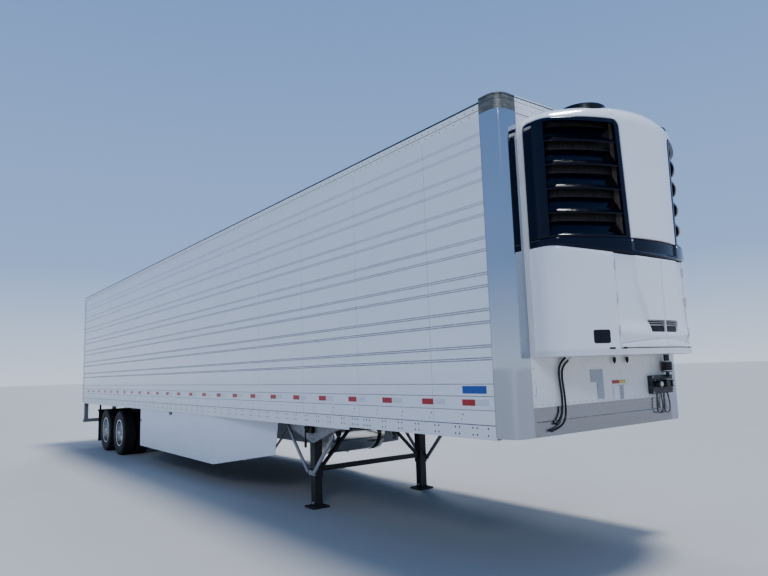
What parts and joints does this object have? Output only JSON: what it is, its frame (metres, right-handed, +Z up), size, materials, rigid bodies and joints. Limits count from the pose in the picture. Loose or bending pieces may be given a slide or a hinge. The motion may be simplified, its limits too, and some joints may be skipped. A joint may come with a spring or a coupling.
{
  "type": "semi trailer",
  "caption": "Long insulated box semi trailer with a cooling unit on its nose, landing gear, tandem twin wheels, side skirts and swing rear doors",
  "frame": {"origin": "on the ground under the middle of the overall box, nose to tail and side to side", "axes": "+X forward to the nose, +Y to the road side (left), +Z up"},
  "size_m": [16.834, 2.591, 4.13],
  "materials": {
    "liner_panel": "smooth white lined wall, outer skin satin white",
    "white_skin": "ribbed prepainted white sheet, satin",
    "floor_alu": "ducted bare floor",
    "white_rail": "white coated extrusion",
    "polished_steel": "mirror polished stainless sheet",
    "cap_grey": "satin cast corner",
    "beam_grey": "mill finish, road dull",
    "frame_black": "black chassis coating",
    "brace_grey": "grey galvanised coating",
    "tyre": "treaded rubber",
    "rim_alu": "polished forged rim",
    "rubber": "black rubber",
    "zinc": "zinc plated",
    "tank_alu": "polished tank",
    "skirt_white": "white composite panel",
    "unit_white": "gloss white moulded panel",
    "unit_dark": "gloss blue-black moulded panel",
    "coil": "finned condenser core",
    "engine": "plain block",
    "lamp_red": "red lens"
  },
  "bodies": {
    "trailer": {"floor": "floor_alu", "side_wall_left": "white_skin", "side_wall_right": "white_skin", "roof": "liner_panel", "front_wall": "liner_panel", "bottom_rails": "white_rail", "top_rails": "white_rail", "corner_posts": "polished_steel", "corner_caps": "cap_grey", "front_top_rail": "white_rail", "nose_band": "polished_steel", "floor_beams": "beam_grey", "coupler_plate": "frame_black", "slide_rails": "frame_black", "mud_flaps": "rubber", "bogie_sides": "frame_black", "bogie_cross_beams": "frame_black", "axles": "frame_black", "trailing_arms": "frame_black", "air_springs": "rubber", "rear_posts": "polished_steel", "rear_cross_rails": "polished_steel", "rear_guard": "zinc", "dock_bumpers": "rubber", "landing_legs": "frame_black", "landing_feet": "frame_black", "landing_braces": "brace_grey", "fuel_tank": "tank_alu", "tank_straps": "rubber", "side_skirts": "skirt_white", "skirt_brackets": "zinc", "unit_frame": "frame_black", "unit_side_panels": "unit_white", "unit_belt": "unit_dark", "unit_centre_panel": "unit_white", "unit_grilles": "unit_dark", "unit_coils": "coil", "unit_roof": "unit_white", "fan_guards": "frame_black", "engine_block": "engine", "nose_couplings": "frame_black", "drain_hose_outer": "rubber", "drain_hose_inner": "rubber", "jumper_hose_inner": "rubber", "jumper_hose_outer": "rubber", "red_lamps": "lamp_red"},
    "wheel_front_left": {"tyres_front_left": "tyre", "rims_front_left": "rim_alu"},
    "wheel_front_right": {"tyres_front_right": "tyre", "rims_front_right": "rim_alu"},
    "wheel_rear_left": {"tyres_rear_left": "tyre", "rims_rear_left": "rim_alu"},
    "wheel_rear_right": {"tyres_rear_right": "tyre", "rims_rear_right": "rim_alu"},
    "cargo_door_left": {"rear_door_left": "white_skin", "door_hardware_left": "zinc"},
    "cargo_door_right": {"rear_door_right": "white_skin", "door_hardware_right": "zinc"},
    "service_door_left": {"unit_door_left": "unit_white"},
    "service_door_right": {"unit_door_right": "unit_white"}
  },
  "joints": [
    {"name": "wheel_front_left_spin", "type": "hinge", "parent": "trailer", "child": "wheel_front_left", "pos_m": [-4.413, 0.993, 0.5], "axis": [0, 1, 0], "continuous": true},
    {"name": "wheel_front_right_spin", "type": "hinge", "parent": "trailer", "child": "wheel_front_right", "pos_m": [-4.413, -0.993, 0.5], "axis": [0, 1, 0], "continuous": true},
    {"name": "wheel_rear_left_spin", "type": "hinge", "parent": "trailer", "child": "wheel_rear_left", "pos_m": [-5.683, 0.993, 0.5], "axis": [0, 1, 0], "continuous": true},
    {"name": "wheel_rear_right_spin", "type": "hinge", "parent": "trailer", "child": "wheel_rear_right", "pos_m": [-5.683, -0.993, 0.5], "axis": [0, 1, 0], "continuous": true},
    {"name": "cargo_door_left_hinge", "type": "hinge", "parent": "trailer", "child": "cargo_door_left", "pos_m": [-8.392, 1.2835, 2.68], "axis": [0, 0, -1], "range_deg": [0, 262]},
    {"name": "cargo_door_right_hinge", "type": "hinge", "parent": "trailer", "child": "cargo_door_right", "pos_m": [-8.392, -1.2835, 2.68], "axis": [0, 0, 1], "range_deg": [0, 262]},
    {"name": "service_door_left_hinge", "type": "hinge", "parent": "trailer", "child": "service_door_left", "pos_m": [8.32683, 0.55, 2.24], "axis": [0, 0, 1], "range_deg": [0, 110]},
    {"name": "service_door_right_hinge", "type": "hinge", "parent": "trailer", "child": "service_door_right", "pos_m": [8.32683, -0.55, 2.24], "axis": [0, 0, -1], "range_deg": [0, 110]}
  ]
}
